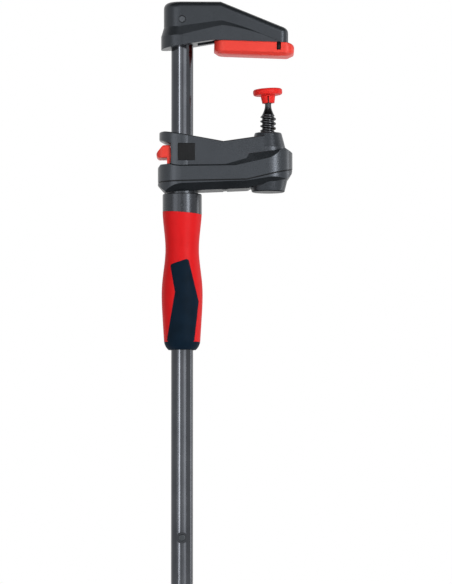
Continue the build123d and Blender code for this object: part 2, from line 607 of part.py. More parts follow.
def make_spindle_gear(phase):
    gear = make_gear(SPINDLE_TEETH, phase, REACH, SPINDLE_RADIUS + RUN_GAP)
    gear += tube(HUB_RADIUS, SPINDLE_RADIUS + RUN_GAP, GEAR_TOP, HUB_TOP, REACH)
    key_in = REACH + SPINDLE_RADIUS - KEY_DEPTH + RUN_GAP
    key_out = REACH + HUB_RADIUS - KEY_DEPTH
    gear += block(key_in, key_out, KEY_WIDTH / 2 - RUN_GAP, HUB_TOP - KEY_LENGTH, HUB_TOP)
    return gear


def make_spindle():
    thread_top = BOSS_TOP + SPINDLE_THREAD_OUT
    bar = turned([
        (0, SPINDLE_BOTTOM), (SPINDLE_RADIUS, SPINDLE_BOTTOM), (SPINDLE_RADIUS, thread_top),
        (SPINDLE_ROOT_RADIUS, thread_top), (SPINDLE_NECK_RADIUS, thread_top + SPINDLE_TAPER),
        (SPINDLE_NECK_RADIUS, BALL_Z), (0, BALL_Z)])
    bar += Pos(0, 0, BALL_Z) * Sphere(SPINDLE_BALL_RADIUS)
    key_top = HUB_TOP + SPINDLE_RETRACT + FACE_GAP
    key_in = SPINDLE_RADIUS - KEY_DEPTH
    bar -= block(key_in, 2 * SPINDLE_RADIUS, KEY_WIDTH / 2, SPINDLE_BOTTOM - CUT_PAST, key_top)
    return Pos(REACH, 0, 0) * bar


def make_pressure_plate():
    hub_low = -PLATE_HUB_BELOW_BALL
    plate_low = hub_low + PLATE_HUB_HEIGHT
    plate_top = plate_low + PLATE_THICKNESS
    disc = turned([
        (0, hub_low), (PLATE_HUB_RADIUS - PLATE_HUB_TAPER, hub_low), (PLATE_HUB_RADIUS, plate_low),
        (PLATE_RADIUS, plate_low), (PLATE_RADIUS, plate_top), (0, plate_top)])
    rounds = disc.edges().filter_by(GeomType.CIRCLE)
    disc = fillet([edge for edge in rounds if edge.radius > PLATE_RADIUS - SEAT_GAP], PLATE_RIM_ROUND)
    disc -= Sphere(SPINDLE_BALL_RADIUS + RUN_GAP)
    disc -= rod(SPINDLE_NECK_RADIUS + PLATE_MOUTH_GAP, hub_low - CUT_PAST, 0)
    disc -= block(-PLATE_SLIT / 2, PLATE_SLIT / 2, PLATE_RADIUS, hub_low - CUT_PAST, plate_low - PLATE_SLIT)
    return Pos(REACH, 0, BALL_Z) * Rot(0, -PLATE_TILT, 0) * disc


def collar_plane():
    """Slanted joint between the collar and the grip."""
    slant = radians(COLLAR_SLANT)
    return Plane(origin=(0, 0, COLLAR_BOTTOM), z_dir=(sin(slant), 0, cos(slant)))


def make_handle_collar():
    low = COLLAR_BOTTOM - COLLAR_RADIUS / 2
    seat_top = GEAR_TOP + CLIP_THICKNESS + FACE_GAP
    collar = turned([
        (HANDLE_BORE, low), (COLLAR_RADIUS, low), (COLLAR_RADIUS, COLLAR_TOP - COLLAR_EDGE),
        (COLLAR_RADIUS - COLLAR_EDGE, COLLAR_TOP), (NECK_RADIUS, COLLAR_TOP), (NECK_RADIUS, GEAR_BOTTOM),
        (GEAR_SEAT_RADIUS, GEAR_BOTTOM), (GEAR_SEAT_RADIUS, seat_top), (HANDLE_BORE, seat_top)])
    collar = split(collar, collar_plane(), keep=Keep.TOP)
    collar -= rod(SPIGOT_RADIUS, low, SPIGOT_TOP)
    collar -= cross_rod(COLLAR_PIN_RADIUS, 4 * COLLAR_RADIUS, 0, COLLAR_PIN_Z)
    return collar


def make_handle_clip():
    clip = tube(GEAR_SEAT_RADIUS + CLIP_WIDTH, GEAR_SEAT_RADIUS, GEAR_TOP, GEAR_TOP + CLIP_THICKNESS)
    clip_top = GEAR_TOP + CLIP_THICKNESS + CUT_PAST
    return clip - block(-2 * GEAR_SEAT_RADIUS, 0, CLIP_GAP_HALF, GEAR_TOP - CUT_PAST, clip_top)


def grip_solid(inset):
    """Waisted grip body, taken in all over by the inset; its foot is rounded."""
    foot = COLLAR_BOTTOM - GRIP_LENGTH + inset
    top = COLLAR_BOTTOM + COLLAR_RADIUS / 2
    waist = COLLAR_BOTTOM - GRIP_WAIST_DOWN
    belly = foot - inset + GRIP_BELLY_UP
    thigh = foot - inset + GRIP_THIGH_UP
    heel = foot - inset + GRIP_HEEL_UP
    swell = [
        (COLLAR_RADIUS, top), (COLLAR_RADIUS, COLLAR_BOTTOM), (GRIP_WAIST_RADIUS, waist),
        (GRIP_BELLY_RADIUS, belly), (GRIP_THIGH_RADIUS, thigh), (GRIP_HEEL_RADIUS, heel)]
    side = Spline(*[(radius - inset, z) for radius, z in swell])
    lower = TangentArc(side @ 1, (GRIP_FOOT_RADIUS - inset, foot), tangent=side % 1)
    inside = Polyline(lower @ 1, (HANDLE_BORE, foot), (HANDLE_BORE, top), side @ 0)
    return revolve(Plane.XZ * make_face([side, lower, inside]), Axis.Z)


def inlay_zone():
    """Where the soft inlay lies: the front panel, the same turned half round, and the ring at the foot."""
    foot = COLLAR_BOTTOM - GRIP_LENGTH
    ring_top = foot + END_RING_HEIGHT
    corners = [(x, foot + up) for x, up in INLAY_CORNERS]
    corners += [(INLAY_FOOT_RIGHT, ring_top - FACE_GAP), (INLAY_FOOT_LEFT, ring_top - FACE_GAP)]
    outline = side_face(corners)
    outline = fillet(outline.vertices(), INLAY_CORNER_ROUND)
    panel = extrude(outline, 2 * GRIP_BELLY_RADIUS)
    ring = rod(2 * GRIP_BELLY_RADIUS, foot - CUT_PAST, ring_top)
    return panel + Rot(0, 0, 180) * panel + ring


def make_grip():
    """Red core and the soft inlay that is moulded into it."""
    whole = split(grip_solid(0), collar_plane(), keep=Keep.BOTTOM)
    inlay = (whole - grip_solid(INLAY_DEPTH)) & inlay_zone()
    spigot = tube(SPIGOT_RADIUS - SEAT_GAP, HANDLE_BORE, COLLAR_BOTTOM - COLLAR_RADIUS, SPIGOT_TOP)
    core = whole - inlay + spigot
    core -= cross_rod(COLLAR_PIN_RADIUS, 4 * COLLAR_RADIUS, 0, COLLAR_PIN_Z)
    return core, inlay


def make_collar_pin():
    """Two short pins that lock the grip's spigot to the collar."""
    reach = COLLAR_RADIUS - COLLAR_PIN_SUNK
    pins = cross_rod(COLLAR_PIN_RADIUS - SEAT_GAP, 2 * reach, 0, COLLAR_PIN_Z)
    return pins - rod(HANDLE_BORE, COLLAR_BOTTOM, COLLAR_TOP)


def button_slot(radius, bottom, top):
    """Room that the button leaves round the rail over its travel."""
    return rod(radius, bottom, top, -BUTTON_TRAVEL) + block(-BUTTON_TRAVEL, REACH, radius, bottom, top)


def make_release_button():
    top = BUTTON_BOTTOM + BUTTON_HEIGHT
    back = NOTCH_X - FACE_GAP
    outline = side_face([
        (BUTTON_TIP_X + BUTTON_LIP_ROUND, BUTTON_BOTTOM), (back, BUTTON_BOTTOM), (back, top),
        (BUTTON_TIP_X + BUTTON_BROW, top), (BUTTON_TIP_X, BUTTON_BOTTOM + BUTTON_NOSE_RISE),
        (BUTTON_TIP_X, BUTTON_BOTTOM + BUTTON_LIP_ROUND)])
    outline = fillet(outline.vertices().sort_by(Axis.X)[:4], BUTTON_EDGE_ROUND)
    head = extrude(outline, BUTTON_HALF, both=True)
    length = back - BUTTON_TIP_X
    plan = Pos(back, 0) * RectangleRounded(2 * length, 2 * BUTTON_HALF, length / 2)
    head &= upright(plan, SLIDER_TIER, top)
    section = RectangleRounded(2 * BUTTON_HALF, BUTTON_HEIGHT, BUTTON_LIP_ROUND)
    middle = Plane(origin=(back, 0, BUTTON_BOTTOM + BUTTON_HEIGHT / 2), x_dir=(0, 1, 0), z_dir=(1, 0, 0))
    head &= extrude(middle * section, length, both=True)
    skirt_top = BUTTON_BOTTOM + BUTTON_LIP_ROUND
    head += block(back - BUTTON_SKIRT_WIDTH, back, BUTTON_HALF, SLIDER_TIER + FACE_GAP, skirt_top)
    prong_top = BUTTON_BOTTOM + BUTTON_PRONG_HEIGHT
    head -= button_slot(LOCK_RADIUS + 2 * FACE_GAP, prong_top, top - BUTTON_ROOF)
    prongs = block(back - BUTTON_SKIRT_WIDTH, BUTTON_PRONG_END, BUTTON_HALF, BUTTON_BOTTOM, prong_top)
    button = head + prongs
    return button - button_slot(RAIL_BORE, SLIDER_TIER, top)


def make_lock_plate():
    plan = Circle(LOCK_RADIUS) + Pos(LOCK_PIVOT_X / 2, 0) * Rectangle(LOCK_PIVOT_X, 2 * LOCK_RADIUS)
    plate = upright(plan - Circle(RAIL_BORE), -LOCK_THICKNESS / 2, LOCK_THICKNESS / 2)
    plate += cross_rod(TRUNNION_RADIUS, 2 * (POCKET_HALF + TRUNNION_SEAT - FACE_GAP), LOCK_PIVOT_X, 0)
    return Pos(LOCK_PIVOT_X, 0, LOCK_Z) * Rot(0, -LOCK_TILT, 0) * Pos(-LOCK_PIVOT_X, 0, 0) * plate


def make_button_spring():
    """Bowed leaf spring between the pocket's end wall and the button's two prongs."""
    wall = POCKET_END - SPRING_LEAF / 2 - SEAT_GAP
    tip = BUTTON_PRONG_END + SPRING_LEAF / 2 + RUN_GAP
    half = [(tip, BUTTON_HALF - SPRING_LEAF), (tip, RAIL_BORE + SPRING_LEAF), (wall, RAIL_RADIUS / 2)]
    line = Polyline(*half, *[(x, -y) for x, y in reversed(half)])
    return upright(trace(line, SPRING_LEAF), BUTTON_BOTTOM + FACE_GAP, BUTTON_BOTTOM + BUTTON_PRONG_HEIGHT)


def make_nodes():
    """Every piece by its name."""
    idler_a_phase = next_phase(0, DRIVE_PITCH, IDLER_PITCH)
    idler_b_phase = next_phase(idler_a_phase - 180, IDLER_PITCH, IDLER_PITCH)
    spindle_phase = next_phase(idler_b_phase - 180, IDLER_PITCH, SPINDLE_PITCH)
    grip_core, grip_inlay = make_grip()
    return {
        "rail": make_rail(),
        "fixed_arm": make_fixed_arm(),
        "arm_pin": make_arm_pin(),
        "jaw_pad": make_jaw_pad(),
        "stop_pin": make_stop_pin(),
        "slider_housing": make_slider_housing(),
        "slider_cover": make_slider_cover(),
        "cover_screws": make_cover_screws(),
        "badge_tile": make_badge_tile(),
        "idler_axle_a": make_idler_axle(IDLER_A_X),
        "idler_axle_b": make_idler_axle(IDLER_B_X),
        "thrust_washers": make_thrust_washers(),
        "spindle_nut": make_spindle_nut(),
        "button_spring": make_button_spring(),
        "handle_collar": make_handle_collar(),
        "drive_gear": make_gear(DRIVE_TEETH, 0, 0, GEAR_SEAT_RADIUS + SEAT_GAP),
        "handle_clip": make_handle_clip(),
        "grip_core": grip_core,
        "grip_inlay": grip_inlay,
        "collar_pin": make_collar_pin(),
        "idler_gear_a": make_gear(IDLER_TEETH, idler_a_phase, IDLER_A_X, AXLE_RADIUS + RUN_GAP),
        "idler_gear_b": make_gear(IDLER_TEETH, idler_b_phase, IDLER_B_X, AXLE_RADIUS + RUN_GAP),
        "spindle_gear": make_spindle_gear(spindle_phase),
        "spindle": make_spindle(),
        "pressure_plate": make_pressure_plate(),
        "release_button": make_release_button(),
        "lock_plate": make_lock_plate(),
    }


os.makedirs("parts", exist_ok=True)
for name, solid in make_nodes().items():
    export_step(solid, f"parts/{name}.step")
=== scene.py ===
# %% [markdown]
# # A geared bar clamp, dressed for the camera
# The clamp is a grooved steel rail with a fixed arm on top and a sliding arm below it. A red grip turns
# round the rail and, through a row of gears, winds a small spindle with a swivelling plate. The solids come
# from the imported frame at their real size. This lesson gives every surface its finish, cuts the spindle's
# thread, and adds the small details that the solids leave out: a black strip in the seam as painted shade, the
# pad's rounded tip and its snap tabs, the screws' cross recesses, and the leaf spring behind the button.

# %% Load the frame
import json
import math

import bpy
import numpy as np
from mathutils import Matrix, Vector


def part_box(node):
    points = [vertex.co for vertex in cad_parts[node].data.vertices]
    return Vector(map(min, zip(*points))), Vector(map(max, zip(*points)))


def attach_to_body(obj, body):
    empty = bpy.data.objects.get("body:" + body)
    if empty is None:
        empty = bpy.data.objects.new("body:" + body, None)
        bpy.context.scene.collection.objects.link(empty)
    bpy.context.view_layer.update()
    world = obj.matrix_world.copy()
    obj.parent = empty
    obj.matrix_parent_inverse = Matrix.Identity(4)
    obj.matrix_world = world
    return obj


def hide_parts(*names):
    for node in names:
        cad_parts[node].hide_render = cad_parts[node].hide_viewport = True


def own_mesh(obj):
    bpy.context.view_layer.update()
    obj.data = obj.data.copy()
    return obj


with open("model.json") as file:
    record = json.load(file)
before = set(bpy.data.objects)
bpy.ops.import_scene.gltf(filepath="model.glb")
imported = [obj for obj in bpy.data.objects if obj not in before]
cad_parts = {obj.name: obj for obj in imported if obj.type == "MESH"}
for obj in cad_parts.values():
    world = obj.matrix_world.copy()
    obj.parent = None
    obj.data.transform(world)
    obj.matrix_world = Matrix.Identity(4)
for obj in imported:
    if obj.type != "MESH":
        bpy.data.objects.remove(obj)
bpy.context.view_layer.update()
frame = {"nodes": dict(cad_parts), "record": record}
MM = 0.001
record = frame["record"]

# %% [markdown]
# ## Places that the frame already knows
# Nothing here is measured twice. The spindle's axis, its foot and its thickness are read from the boxes of
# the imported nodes, so a piece that is made below lands where the solids say.

# %% Read the places from the frame
spindle_low, spindle_high = (np.array(corner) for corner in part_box("spindle"))
nut_low, nut_high = (np.array(corner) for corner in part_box("spindle_nut"))
SPINDLE_X = (nut_low[0] + nut_high[0]) / 2
SPINDLE_RADIUS = (spindle_high[1] - spindle_low[1]) / 2
housing_low, housing_high = (np.array(corner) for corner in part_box("slider_housing"))
SLIDER_HALF = (housing_high[1] - housing_low[1]) / 2
screws_low, screws_high = (np.array(corner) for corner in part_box("cover_screws"))
pad_low, pad_high = (np.array(corner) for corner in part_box("jaw_pad"))
print("spindle axis at", round(SPINDLE_X, 4), "radius", round(SPINDLE_RADIUS, 5))
print("sliding arm's half width", round(SLIDER_HALF, 4), "seam starts at", round(housing_low[2], 4))

# %% [markdown]
# ## The camera
# The photograph is a nearly flat side view, taken from far away with the lens at the height of the rail's
# foot. One pixel is 0.697 mm on the clamp. A long lens three metres away gives the same slight view from
# below on the upper arm. The sensor's height and the lens follow from that scale.

# %% Set up the camera
PHOTO_WIDTH, PHOTO_HEIGHT = 452, 584
PIXEL = 0.6973 * MM
RAIL_AXIS_PIXEL = 182.15
FOOT_PIXEL = 584.5
CAMERA_DISTANCE = 3.1
CAMERA_HEIGHT = 0.002
SENSOR_HEIGHT = 24.0
aim = np.array([(PHOTO_WIDTH / 2 - RAIL_AXIS_PIXEL) * PIXEL, 0.0, (FOOT_PIXEL - PHOTO_HEIGHT / 2) * PIXEL])
camera_data = bpy.data.cameras.new("camera")
camera = bpy.data.objects.new("camera", camera_data)
bpy.context.scene.collection.objects.link(camera)
camera.location = (aim[0], -CAMERA_DISTANCE, CAMERA_HEIGHT)
rise = aim[2] - CAMERA_HEIGHT
camera.rotation_euler = (math.pi / 2 + math.atan2(rise, CAMERA_DISTANCE), 0, 0)
camera_data.sensor_fit = "VERTICAL"
camera_data.sensor_height = SENSOR_HEIGHT
camera_data.lens = SENSOR_HEIGHT * math.hypot(CAMERA_DISTANCE, rise) / (PHOTO_HEIGHT * PIXEL)
bpy.context.scene.camera = camera
bpy.context.scene.view_settings.view_transform = "Standard"
print("lens", round(camera_data.lens, 1), "mm, rise", round(rise, 3), "m over", CAMERA_DISTANCE, "m")

# %% [markdown]
# ## Two small tools for materials
# Colours are written as the hex values that a paint chart would give and turned to linear light by one
# function. One more function adds a node, sets its sockets and links whatever is itself a socket, so a
# material reads from top to bottom like a recipe.

# %% Colour and node helpers
def linear(hex_colour):
    """sRGB hex to linear RGBA: each channel goes through the sRGB curve backwards."""
    channels = [int(hex_colour[i:i + 2], 16) / 255 for i in (1, 3, 5)]
    curve = [c / 12.92 if c <= 0.04045 else ((c + 0.055) / 1.055) ** 2.4 for c in channels]
    return (*curve, 1.0)


def add(tree, kind, settings=None, **sockets):
    """Adds one node. Settings are its properties; sockets, by name or as i0, i1, get a value or a link."""
    node = tree.nodes.new(kind)
    for name, value in (settings or {}).items():
        setattr(node, name, value)
    for name, value in sockets.items():
        key = int(name[1:]) if name[0] == "i" and name[1:].isdigit() else name.replace("_", " ")
        if isinstance(value, bpy.types.NodeSocket):
            tree.links.new(value, node.inputs[key])
        else:
            node.inputs[key].default_value = value
    return node


def new_material(name):
    """Empty node material with an output node; returns the material and its tree."""
    material = bpy.data.materials.new(name)
    material.use_nodes = True
    material.node_tree.nodes.clear()
    return material, material.node_tree


def close_material(tree, shader):
    """Joins the shader to the material's output."""
    add(tree, "ShaderNodeOutputMaterial", Surface=shader.outputs[0])


def stop(ramp, index, position, colour):
    """Sets one stop of a colour ramp, adding it where the ramp has none yet."""
    stops = ramp.color_ramp.elements
    element = stops[index] if index < len(stops) else stops.new(position)
    element.position = position
    element.color = colour


print("mid grey is", round(linear("#808080")[0], 3), "in linear light")

# %% [markdown]
# ## Glass-filled nylon: both arms
# The arms are moulded in dark grey glass-filled nylon from a spark-eroded tool. The tool leaves a fine even
# grain that scatters the light, so the sides are matte and the highlights on the rounds are broad. Fine
# noise gives the grain, a larger one lets the tone drift a little as resin does, and the grain also varies
# the roughness. The grain is really near 0.2 mm; it is drawn at 0.5 mm so that it shows at this distance.
# The tool's own edges are never sharp. A bevel node lets the shading turn round each edge over 0.4 mm, which
# gives the thin bright lines that edges have on real mouldings.
#
# The cover's underside is made nearly black with painted shade: its reflection fades where the surface turns
# down, so the white floor barely shows in it, and its colour is a little darker than the arms'.

# %% Moulded nylon
EDGE_ROUND = 0.4 * MM
NYLON_ROUGH_SPREAD = 0.07
NOISE_LOW, NOISE_HIGH = 0.3, 0.7
DRIFT_MM, GRAIN_IN_TONE = 18.0, 0.45
LEVEL_ENOUGH, LOOKS_DOWN = -0.15, -0.45


def grain_scale(size_mm):
    """Noise scale for features of the given size: about one feature per unit of scale and metre."""
    return 1000.0 / size_mm


def moulded_nylon(name, dark, pale, roughness, specular, sheen="#ffffff", grain_mm=0.5, grain_height_mm=0.01):
    """Matte moulding: tone between two colours, grained bump, roughness that follows the grain."""
    material, tree = new_material(name)
    place = add(tree, "ShaderNodeTexCoord").outputs["Object"]
    drift = add(tree, "ShaderNodeTexNoise", Vector=place, Scale=grain_scale(DRIFT_MM), Detail=4.0,
                Roughness=0.6)
    grain = add(tree, "ShaderNodeTexNoise", Vector=place, Scale=grain_scale(grain_mm), Detail=2.0)
    tone = add(tree, "ShaderNodeMath", {"operation": "MULTIPLY_ADD"},
               i0=grain.outputs["Fac"], i1=GRAIN_IN_TONE, i2=drift.outputs["Fac"])
    ramp = add(tree, "ShaderNodeValToRGB", Fac=tone.outputs[0])
    stop(ramp, 0, 0.45, linear(dark))
    stop(ramp, 1, 1.0, linear(pale))
    rough = add(tree, "ShaderNodeMapRange", Value=grain.outputs["Fac"], i1=NOISE_LOW, i2=NOISE_HIGH,
                i3=roughness - NYLON_ROUGH_SPREAD, i4=roughness + NYLON_ROUGH_SPREAD)
    edge = add(tree, "ShaderNodeBevel", {"samples": 4}, Radius=EDGE_ROUND)
    bump = add(tree, "ShaderNodeBump", Height=grain.outputs["Fac"], Strength=0.5,
               Distance=grain_height_mm * MM, Normal=edge.outputs["Normal"])
    shader = add(tree, "ShaderNodeBsdfPrincipled", Base_Color=ramp.outputs["Color"],
                 Roughness=rough.outputs[0], Normal=bump.outputs["Normal"], Specular_IOR_Level=specular,
                 Specular_Tint=linear(sheen))
    close_material(tree, shader)
    return material


def shade_below(material, shaded_specular):
    """Painted shade: fades the reflection by the normal's Z, from the finish's own value to a lower one on
    falling faces.
    """
    tree = material.node_tree
    shader = next(node for node in tree.nodes if node.type == "BSDF_PRINCIPLED")
    level = shader.inputs["Specular IOR Level"]
    looks = add(tree, "ShaderNodeSeparateXYZ", Vector=add(tree, "ShaderNodeTexCoord").outputs["Normal"])
    painted_shade = add(tree, "ShaderNodeMapRange", Value=looks.outputs["Z"], i1=LOOKS_DOWN, i2=LEVEL_ENOUGH,
                i3=shaded_specular, i4=level.default_value)
    tree.links.new(painted_shade.outputs[0], level)


# The cool tint on the reflections of the arms and the collar is painted light, for the cool colour of the
# lamps.
arm_nylon = moulded_nylon("glass_filled_nylon_dark_grey", "#171a1c", "#222528", 0.32, 0.54,
                          sheen="#eaf2ff", grain_height_mm=0.012)
# The cover's copy of the nylon is a little darker than the arms' and its reflection fades below: painted shade.
cover_nylon_shaded = moulded_nylon("glass_filled_nylon_cover_shaded", "#14171a", "#1e2124", 0.32, 0.54,
                            sheen="#eaf2ff", grain_height_mm=0.012)
shade_below(cover_nylon_shaded, 0.04)
# The fixed arm is the same nylon; this rougher, less reflective copy makes it read darker: painted shade.
upper_nylon_shaded = moulded_nylon("glass_filled_nylon_upper_arm_shaded", "#171a1c", "#222528", 0.34, 0.4,
                            sheen="#eaf2ff", grain_height_mm=0.012)
collar_nylon = moulded_nylon("satin_nylon_collar", "#131415", "#1d1e1f", 0.25, 0.5,
                             sheen="#eaf2ff", grain_height_mm=0.006)
tile_black = moulded_nylon("black_abs_tile", "#121314", "#1c1d1f", 0.42, 0.12, grain_mm=0.35)
print("nylon finishes", arm_nylon.name, cover_nylon_shaded.name, upper_nylon_shaded.name, collar_nylon.name, tile_black.name)

# %% [markdown]
# ## Red polypropylene and the soft blue-black grip
# The red pieces are through-coloured mouldings with a satin skin: a coarser grain than the arms', a soft
# highlight and a tone that drifts a little. Their reds differ slightly in the photograph, so pad and button,
# plate and grip have three finishes. The dark panels are a soft elastomer moulded over the red core. It is
# rougher, reflects less, and has a fine stipple for the hand.

# %% Red moulding and soft elastomer
red_moulding = moulded_nylon("red_polypropylene_satin", "#da362b", "#e54034", 0.42, 0.26, grain_mm=0.7)
red_plate = moulded_nylon("red_acetal_plate", "#d7221c", "#e12b26", 0.45, 0.14, grain_mm=0.7)
red_grip = moulded_nylon("red_polypropylene_grip", "#cd0e12", "#d9161a", 0.5, 0.14,
                         grain_mm=0.6, grain_height_mm=0.015)


def soft_elastomer(name, dark, pale):
    """Soft overmould: dark colour that drifts, stipple bump from round cells, weak reflection."""
    material, tree = new_material(name)
    place = add(tree, "ShaderNodeTexCoord").outputs["Object"]
    drift = add(tree, "ShaderNodeTexNoise", Vector=place, Scale=grain_scale(12.0), Detail=3.0)
    ramp = add(tree, "ShaderNodeValToRGB", Fac=drift.outputs["Fac"])
    stop(ramp, 0, 0.3, linear(dark))
    stop(ramp, 1, 0.75, linear(pale))
    stipple = add(tree, "ShaderNodeTexVoronoi", Vector=place, Scale=grain_scale(0.8))
    bump = add(tree, "ShaderNodeBump", Height=stipple.outputs["Distance"], Strength=0.35,
               Distance=0.03 * MM)
    shader = add(tree, "ShaderNodeBsdfPrincipled", Base_Color=ramp.outputs["Color"], Roughness=0.55,
                 Normal=bump.outputs["Normal"], Specular_IOR_Level=0.05)
    close_material(tree, shader)
    return material


soft_grip = soft_elastomer("soft_elastomer_blue_black", "#061521", "#0a1c2b")
print("coloured finishes", red_moulding.name, red_plate.name, red_grip.name, soft_grip.name)

# %% [markdown]
# ## Steel: the drawn rail, the blackened spindle, the sintered gears
# The rail is drawn through a die, which leaves fine lines along its length, and is then blackened, so it is
# dark with sharp streaks of light. Noise stretched 120 times along Z gives the lines; left unstretched, it is
# the grain of the other steels. The spindle is black oxide over cut steel. The gears are pressed from powder
# and have a speckled grey skin.

# %% Steels
STEEL_ROUGH_SPREAD = 0.04


def drawn_steel(name, dark, pale, roughness, line_mm=0.35, stretch=120.0):
    """Metal with lines along Z: noise stretched along the lines drives tone, roughness and a slight bump."""
    material, tree = new_material(name)
    place = add(tree, "ShaderNodeTexCoord").outputs["Object"]
    along = add(tree, "ShaderNodeMapping", Vector=place, Scale=(1.0, 1.0, 1.0 / stretch))
    lines = add(tree, "ShaderNodeTexNoise", Vector=along.outputs[0], Scale=grain_scale(line_mm), Detail=3.0)
    blotch = add(tree, "ShaderNodeTexNoise", Vector=place, Scale=grain_scale(25.0), Detail=4.0)
    tone = add(tree, "ShaderNodeMath", {"operation": "MULTIPLY_ADD"},
               i0=lines.outputs["Fac"], i1=0.5, i2=blotch.outputs["Fac"])
    ramp = add(tree, "ShaderNodeValToRGB", Fac=tone.outputs[0])
    stop(ramp, 0, 0.5, linear(dark))
    stop(ramp, 1, 1.0, linear(pale))
    rough = add(tree, "ShaderNodeMapRange", Value=lines.outputs["Fac"], i1=NOISE_LOW, i2=NOISE_HIGH,
                i3=roughness - STEEL_ROUGH_SPREAD, i4=roughness + STEEL_ROUGH_SPREAD)
    bump = add(tree, "ShaderNodeBump", Height=lines.outputs["Fac"], Strength=0.3, Distance=0.006 * MM)
    shader = add(tree, "ShaderNodeBsdfPrincipled", Base_Color=ramp.outputs["Color"], Metallic=1.0,
                 Roughness=rough.outputs[0], Normal=bump.outputs["Normal"])
    close_material(tree, shader)
    return material


rail_steel = drawn_steel("drawn_blackened_steel", "#3d3f43", "#4b4d51", 0.13)
spindle_steel = drawn_steel("black_oxide_steel", "#2f3032", "#3b3c3f", 0.28, line_mm=0.6, stretch=1.0)
gear_steel = drawn_steel("sintered_gear_steel", "#85868a", "#a6a7aa", 0.42, line_mm=0.5, stretch=1.0)
pin_steel = drawn_steel("dark_pin_steel", "#3c3f42", "#484b4f", 0.35, line_mm=0.5, stretch=1.0)
nut_brass = drawn_steel("turned_brass", "#b08d4a", "#c9a961", 0.3, line_mm=0.4, stretch=1.0)
print("metal finishes", rail_steel.name, spindle_steel.name, gear_steel.name, pin_steel.name, nut_brass.name)

# %% [markdown]
# ## Give each imported node its finish
# The record already names a material slot for every node, so one table from slot to finish dresses them all.
# Four nodes share a slot with others and get their own finish. Grip core and pressure plate differ a little in
# tone. The fixed arm's duller copy of the nylon and the cover's darker one, whose reflection fades below, are
# painted shade.

# %% Assign finishes to the nodes
FINISH = {
    "rail_steel": rail_steel, "arm_plastic": arm_nylon, "collar_plastic": collar_nylon,
    "red_plastic": red_moulding, "soft_grip": soft_grip, "badge_black": tile_black,
    "spindle_steel": spindle_steel, "gear_steel": gear_steel, "pin_steel": pin_steel, "nut_brass": nut_brass,
}
OWN_FINISH = {
    "fixed_arm": upper_nylon_shaded, "slider_cover": cover_nylon_shaded, "grip_core": red_grip, "pressure_plate": red_plate,
}
slot_of = {entry["node"]: entry["material_slot"] for entry in record["subparts"]}
for node_name, node in frame["nodes"].items():
    node.data.materials.clear()
    node.data.materials.append(OWN_FINISH.get(node_name, FINISH[slot_of[node_name]]))
print("dressed", len(slot_of), "nodes,", len(OWN_FINISH), "of them in a finish of their own")

# %% [markdown]
# ## Mesh tools
# Each piece below is a grid of points that numpy works out: rings of points, one after the other. Quads join
# the rings. A skin is closed by a fan at each end, and a band closes on itself instead. One more call gives
# a piece its finish and its body.

# %% Skins, bands and their bodies
def grid_quads(rings, sides, hoop=False):
    """Quads of a grid whose rings close on themselves; in a hoop the last ring joins the first as well."""
    ring, side = np.meshgrid(np.arange(rings if hoop else rings - 1), np.arange(sides), indexing="ij")
    after, above = (side + 1) % sides, (ring + 1) % rings
    corners = [ring * sides + side, ring * sides + after, above * sides + after, above * sides + side]
    return np.stack(corners, axis=-1).reshape(-1, 4).tolist()


def new_piece(name, points, faces, smooth):
    """Object at the origin from points and faces, smooth or flat all over."""
    mesh = bpy.data.meshes.new(name)
    mesh.from_pydata(points.tolist(), [], faces)
    mesh.polygons.foreach_set("use_smooth", np.full(len(mesh.polygons), smooth))
    piece = bpy.data.objects.new(name, mesh)
    bpy.context.scene.collection.objects.link(piece)
    return piece


def surface_mesh(name, x, y, z):
    """Closed smooth skin over a grid of rings: quads round the ring and up, and a fan at each end."""
    rings, sides = x.shape
    points = np.stack([x, y, z], axis=-1).reshape(-1, 3)
    lower = np.array([[x[0].mean(), y[0].mean(), z[0].mean()]])
    upper = np.array([[x[-1].mean(), y[-1].mean(), z[-1].mean()]])
    first, second = np.arange(sides), (np.arange(sides) + 1) % sides
    foot_fan = np.stack([second, first, np.full(sides, rings * sides)], axis=-1)
    top = (rings - 1) * sides
    top_fan = np.stack([top + first, top + second, np.full(sides, rings * sides + 1)], axis=-1)
    faces = grid_quads(rings, sides) + foot_fan.tolist() + top_fan.tolist()
    return new_piece(name, np.vstack([points, lower, upper]), faces, smooth=True)


def hoop_mesh(name, x, y, z):
    """Flat-faced band that closes both along its path and round its section."""
    points = np.stack([x, y, z], axis=-1).reshape(-1, 3)
    return new_piece(name, points, grid_quads(*x.shape, hoop=True), smooth=False)


def attach(piece, material, body):
    """Gives a piece its finish and the body it moves with."""
    piece.data.materials.append(material)
    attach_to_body(piece, body)


print("a band of 4 rings and 6 sides has", len(grid_quads(4, 6, hoop=True)), "quads")

# %% [markdown]
# ## The spindle's thread
# The real spindle is a coarse left-hand screw, cut on a lathe. Its thread shows for a dozen millimetres above
# the boss. A helix of wedges or a screw modifier could make it, but one surface is simpler: the radius is a
# function of the angle and the height. A triangle wave of height plus pitch times turn gives the thread,
# clipped flat at crest and root as a trapezoid tool leaves it. A second function of height alone gives the
# whole profile from the foot to the ball, and the thread is taken off it where the bar is full size.

# %% Profile of the spindle
NECK_RADIUS = 2.2 * MM
ROOT_RADIUS = 4.2 * MM
NECK_BELOW_BALL = 5.4 * MM
TAPER_LENGTH = 6.0 * MM
TAPER_HOLLOW = 1.5
FOOT_CHAMFER = 0.8 * MM
BALL_RADIUS = 3.4 * MM
ball_z = spindle_high[2] - BALL_RADIUS
taper_low = ball_z - NECK_BELOW_BALL - TAPER_LENGTH
thread_foot = spindle_low[2]


